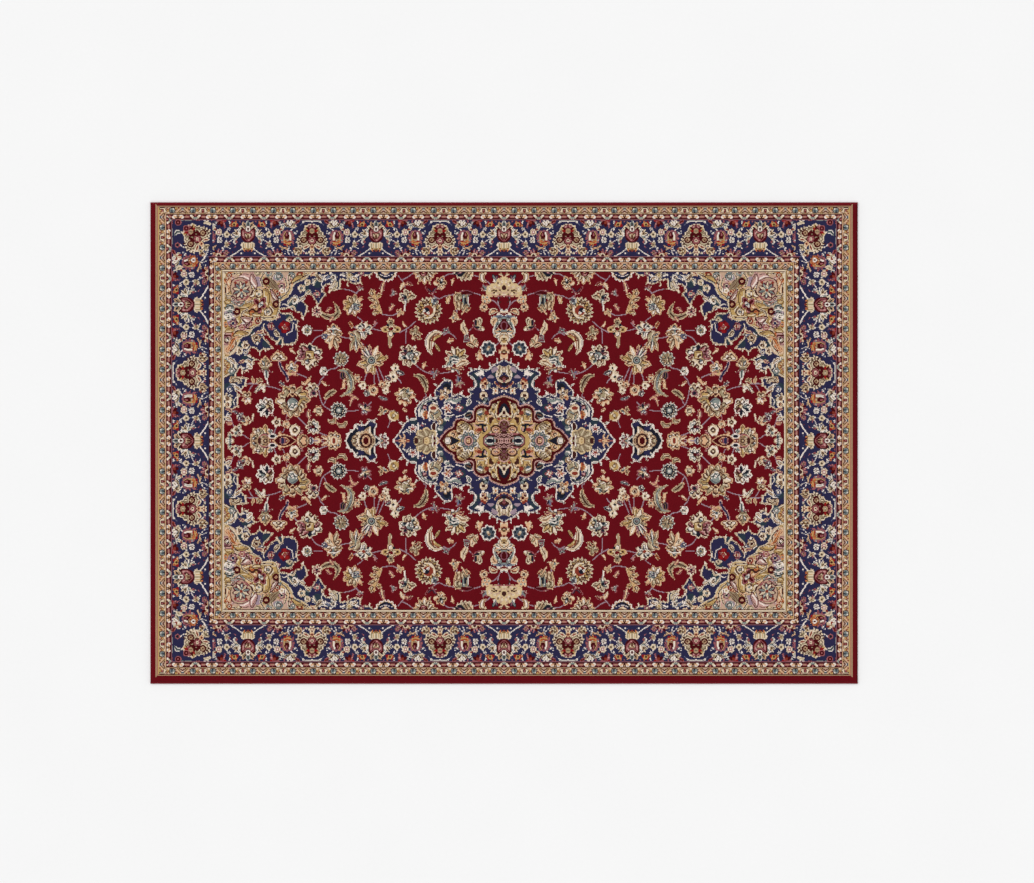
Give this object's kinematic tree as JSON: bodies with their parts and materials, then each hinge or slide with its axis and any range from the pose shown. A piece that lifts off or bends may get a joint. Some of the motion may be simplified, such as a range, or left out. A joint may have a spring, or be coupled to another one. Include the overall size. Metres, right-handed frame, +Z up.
{
  "type": "area rug",
  "caption": "Flat rectangular machine-woven area rug with a cut pile, serged long sides and hemmed ends, in a medallion and corner floral design.",
  "frame": {"origin": "middle of the rug's underside, on the floor that it lies on", "axes": "+X along the rug's length, +Y across its width towards its back edge, +Z up out of the pile"},
  "size_m": [2.35, 1.6, 0.012],
  "materials": {
    "latex_back": "matt dried latex over jute",
    "ground_yarn": "plain undyed yarn",
    "edge_yarn": "wrapped wool-look yarn",
    "hem_tape": "woven tape",
    "red_pile": "cut pile, soft sheen",
    "gold_pile": "cut pile, soft sheen",
    "navy_pile": "cut pile, soft sheen",
    "rust_pile": "cut pile, soft sheen",
    "cream_pile": "cut pile, soft sheen"
  },
  "bodies": {
    "root": {"back_coating": "latex_back", "lower_wefts": "ground_yarn", "stuffer_warps": "ground_yarn", "upper_wefts": "ground_yarn", "front_edge_cord": "ground_yarn", "back_edge_cord": "ground_yarn", "front_serging": "edge_yarn", "back_serging": "edge_yarn", "left_end_hem": "hem_tape", "right_end_hem": "hem_tape", "left_hem_stitching": "edge_yarn", "right_hem_stitching": "edge_yarn", "surround_pile": "red_pile", "outer_guard_pile": "gold_pile", "outer_stripe_pile": "rust_pile", "main_border_pile": "navy_pile", "inner_stripe_pile": "rust_pile", "inner_guard_pile": "gold_pile", "field_pile": "red_pile", "front_left_corner_pile": "gold_pile", "front_right_corner_pile": "gold_pile", "back_left_corner_pile": "gold_pile", "back_right_corner_pile": "gold_pile", "front_left_band_pile": "navy_pile", "front_right_band_pile": "navy_pile", "back_left_band_pile": "navy_pile", "back_right_band_pile": "navy_pile", "left_pendant_pile": "navy_pile", "right_pendant_pile": "navy_pile", "medallion_edging_pile": "cream_pile", "medallion_ground_pile": "navy_pile", "medallion_core_pile": "gold_pile"}
  },
  "joints": []
}
